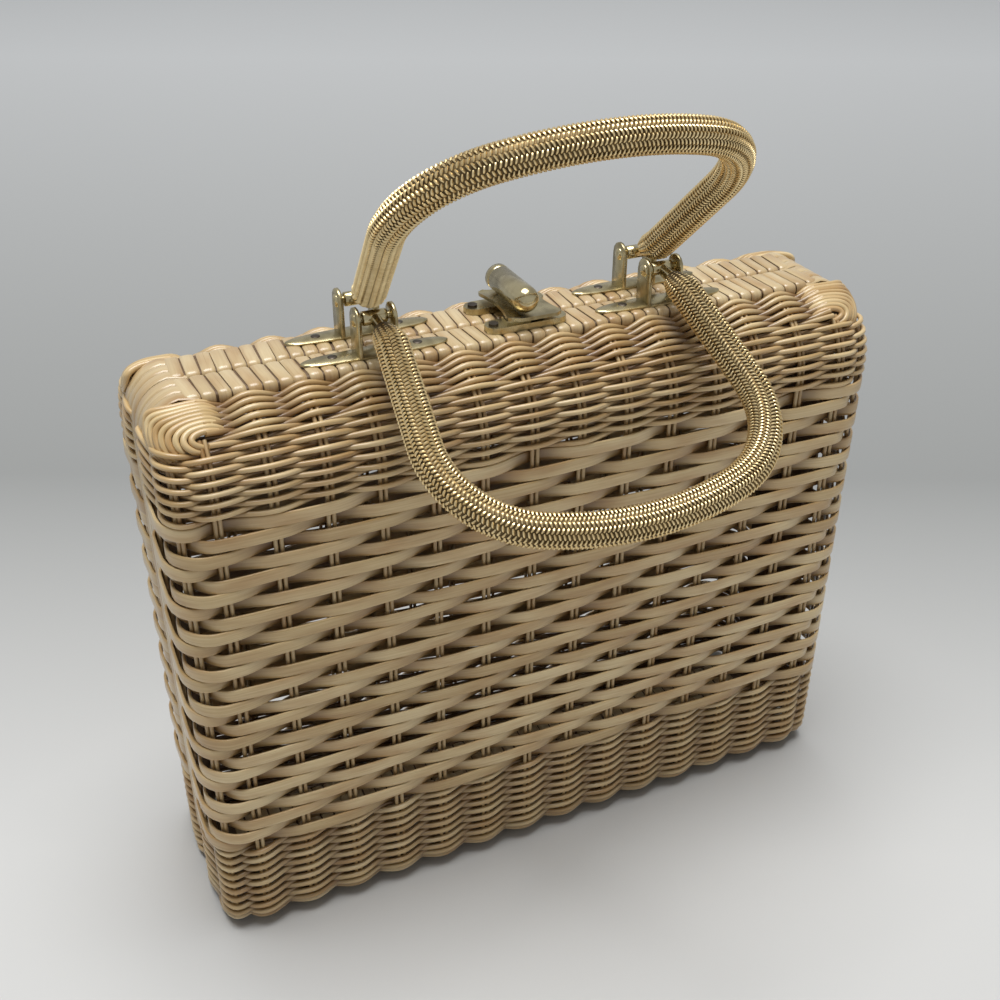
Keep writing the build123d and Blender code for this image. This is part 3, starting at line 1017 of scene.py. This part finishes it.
def brass_material(name, bright, worn, rough):
    """Lacquered brass with dull, darker patches and fine scratches."""
    material, nodes, links, shader = start_material(name)
    coordinates = nodes.new("ShaderNodeTexCoord").outputs["Object"]
    patches = noise(nodes, links, coordinates, worn_scale, worn_detail)
    scratches = noise(nodes, links, coordinates, scratch_scale, scratch_detail)
    roughness = remap(nodes, links, patches, rough + worn_rougher, rough - worn_smoother)
    links.new(ramp(nodes, links, patches, worn_shares, (worn, bright)), shader.inputs["Base Color"])
    links.new(roughness, shader.inputs["Roughness"])
    links.new(bump(nodes, links, scratches, scratch_strength, scratch_height), shader.inputs["Normal"])
    shader.inputs["Metallic"].default_value = 1
    return material


def wire_material(name, bright, deep, rough):
    """Gold wire, a little different from loop to loop."""
    material, nodes, links, shader = start_material(name)
    coordinates = nodes.new("ShaderNodeTexCoord").outputs["Object"]
    cloud = noise(nodes, links, coordinates, cloud_scale, cloud_detail)
    by_tone = ramp(nodes, links, attribute(nodes, "tone")["Fac"], (0, 1), (deep, bright))
    by_cloud = ramp(nodes, links, cloud, cloud_shares, (deep, bright))
    colour = blend_colour(nodes, links, "MIX", cloud_weight, by_tone, by_cloud)
    roughness = remap(nodes, links, cloud, rough + cloud_rougher, rough - cloud_smoother)
    links.new(colour, shader.inputs["Base Color"])
    links.new(roughness, shader.inputs["Roughness"])
    shader.inputs["Metallic"].default_value = 1
    return material


reed = reed_material("reed", reed_tones, reed_rough, lacquer)
cane = reed_material("cane", cane_tones, cane_rough, lacquer)
hoop = reed_material("hoop", hoop_tones, hoop_rough, bare)
brass = brass_material("brass", brass_bright, brass_worn, brass_rough)
polished = brass_material("polished_brass", polished_bright, polished_worn, polished_rough)
wire = wire_material("gold_wire", wire_bright, wire_deep, wire_rough)
# Near-black tube under the handle mesh: painted shade
shade = brass_material("painted_shade_core", shade_core_light, shade_core_dark, shade_core_rough)
dark_screw = brass_material("dark_screw", screw_bright, screw_worn, screw_rough)


def made(maker, *values):
    """Bundle filled by a maker with its values."""
    bundle = Bundle()
    maker(bundle, *values)
    return bundle


# Woven halves and their rims
for half, mirrored in (("front", False), ("back", True)):
    body = half + "_half"
    flat = made(weave_flat, flat_widths[half], flat_lifts[half])
    flat_piece = flat.piece(half + "_flat_reeds", body, reed, "reed", mirrored)
    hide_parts(half + "_shell")
    made(weave_round).piece(half + "_round_reeds", body, reed, "reed", mirrored)
    made(set_stakes).piece(half + "_stakes", body, reed, "reed", mirrored)
    wraps = made(dress_rim).piece(half + "_rim_cane", body, cane, "cane", mirrored)
    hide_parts(half + "_rim")
    made(core_rim).piece(half + "_rim_hoop", body, hoop, "cane", mirrored)

# Handles and their brackets
for half, side, leg_angle in (("front", -1, front_leg_angle), ("back", 1, back_leg_angle)):
    body = half + "_half"
    handle = half + "_handle"
    sleeve = made(knit_handle, side, leg_angle).piece(handle + "_mesh", handle, wire, "gold_mesh")
    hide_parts(handle + "_sleeve")
    made(core_handle, side, leg_angle).piece(handle + "_core", handle, shade, "gold_mesh")
    for hand, name in ((-1, "left"), (1, "right")):
        root = made(make_ferrule, hand, side, leg_angle)
        ferrule = root.piece(half + "_root_" + name, handle, polished, "brass")
        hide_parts(half + "_ferrule_" + name)
        rivet_piece = made(make_pin, hand, side).piece(half + "_rivet_" + name, body, polished, "brass")
        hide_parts(half + "_pin_" + name)
        leaf_piece = made(make_bracket, hand, side).piece(half + "_leaf_" + name, body, brass, "brass")
        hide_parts(half + "_bracket_" + name)
    head_piece = made(make_heads, side).piece(half + "_bracket_heads", body, dark_screw, "brass")
    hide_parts(half + "_bracket_screws")

# Clasp
knob = made(make_barrel).piece("clasp_knob_barrel", "clasp_knob", polished, "brass")
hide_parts("clasp_barrel")
saddle = made(make_saddle).piece("clasp_dished_plate", "front_half", brass, "brass")
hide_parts("clasp_saddle")

# Nodes that stay as the frame has them
for name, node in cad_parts.items():
    if node.hide_render:
        continue
    node.data.materials.clear()
    node.data.materials.append(dark_screw if "screw" in name else brass)
    edges = node.modifiers.new("soft_edges", "BEVEL")
    edges.width = edge_bevel * metre
    edges.segments = bevel_segments
    edges.limit_method = "ANGLE"
    edges.angle_limit = math.radians(bevel_angle)
    edges.harden_normals = True

# Floor, with painted shade in a darker band at middle distance
floor_mesh = bpy.data.meshes.new("floor")
floor_half = floor_size * metre / 2
corners = [(x * floor_half, y * floor_half, 0) for x, y in ((-1, -1), (1, -1), (1, 1), (-1, 1))]
floor_mesh.from_pydata(corners, [], [(0, 1, 2, 3)])
floor_material, nodes, links, shader = start_material("floor")
heading = (aim - eye).to_2d().normalized()
distance = nodes.new("ShaderNodeVectorMath")
distance.operation = "DOT_PRODUCT"
distance.inputs[1].default_value = (heading.x, heading.y, 0)
links.new(nodes.new("ShaderNodeTexCoord").outputs["Object"], distance.inputs[0])
fade = nodes.new("ShaderNodeMapRange")
fade.inputs["From Min"].default_value = eye.to_2d().dot(heading) + floor_start * metre
fade.inputs["From Max"].default_value = eye.to_2d().dot(heading) + (floor_start + floor_fade) * metre
links.new(distance.outputs["Value"], fade.inputs["Value"])
floor_shares = (floor_near_share, floor_middle_share, floor_far_share)
# Pale near, painted shade in a darker band at middle distance, paler again far off
floor_colours = (floor_near, floor_shaded_middle, floor_far)
floor_colour = ramp(nodes, links, fade.outputs["Result"], floor_shares, floor_colours)
links.new(floor_colour, shader.inputs["Base Color"])
shader.inputs["Roughness"].default_value = floor_rough
floor_mesh.materials.append(floor_material)
floor = bpy.data.objects.new("floor", floor_mesh)
bpy.context.scene.collection.objects.link(floor)

# Lamp
lamp_data = bpy.data.lights.new("overhead", "AREA")
lamp_data.size = lamp_size * metre
lamp_data.energy = lamp_power
lamp = bpy.data.objects.new("overhead", lamp_data)
lamp.location = Vector(lamp_place) * metre
lamp.rotation_euler = (aim - lamp.location).to_track_quat("-Z", "Y").to_euler()
bpy.context.scene.collection.objects.link(lamp)

# Soft light all round, and the backdrop that the camera and shiny faces see
world = bpy.data.worlds.new("studio")
world.use_nodes = True
nodes = world.node_tree.nodes
links = world.node_tree.links
sky = nodes["Background"]
sky.inputs["Color"].default_value = (*sky_colour, 1)
sky.inputs["Strength"].default_value = sky_strength
backdrop = nodes.new("ShaderNodeBackground")
backdrop.inputs["Color"].default_value = (*backdrop_colour, 1)
seen = nodes.new("ShaderNodeLightPath")
seen_share = seen.outputs["Is Camera Ray"]
for kind in ("Is Glossy Ray", "Is Transmission Ray"):
    either = nodes.new("ShaderNodeMath")
    either.operation = "MAXIMUM"
    links.new(seen_share, either.inputs[0])
    links.new(seen.outputs[kind], either.inputs[1])
    seen_share = either.outputs["Value"]
shown = nodes.new("ShaderNodeMixShader")
links.new(seen_share, shown.inputs["Fac"])
links.new(sky.outputs["Background"], shown.inputs[1])
links.new(backdrop.outputs["Background"], shown.inputs[2])
links.new(shown.outputs["Shader"], nodes["World Output"].inputs["Surface"])
bpy.context.scene.world = world

# Camera
camera_data = bpy.data.cameras.new("camera")
camera_data.lens = camera_lens
camera_data.sensor_width = sensor_size
camera_data.sensor_fit = "HORIZONTAL"
camera = bpy.data.objects.new("camera", camera_data)
roll = Matrix.Rotation(math.radians(camera_roll), 3, "Z")
turned = (aim - eye).to_track_quat("-Z", "Y").to_matrix() @ roll
camera.matrix_world = Matrix.Translation(eye) @ turned.to_4x4()
bpy.context.scene.collection.objects.link(camera)
bpy.context.scene.camera = camera
bpy.context.scene.view_settings.view_transform = "Standard"

bpy.context.view_layer.update()
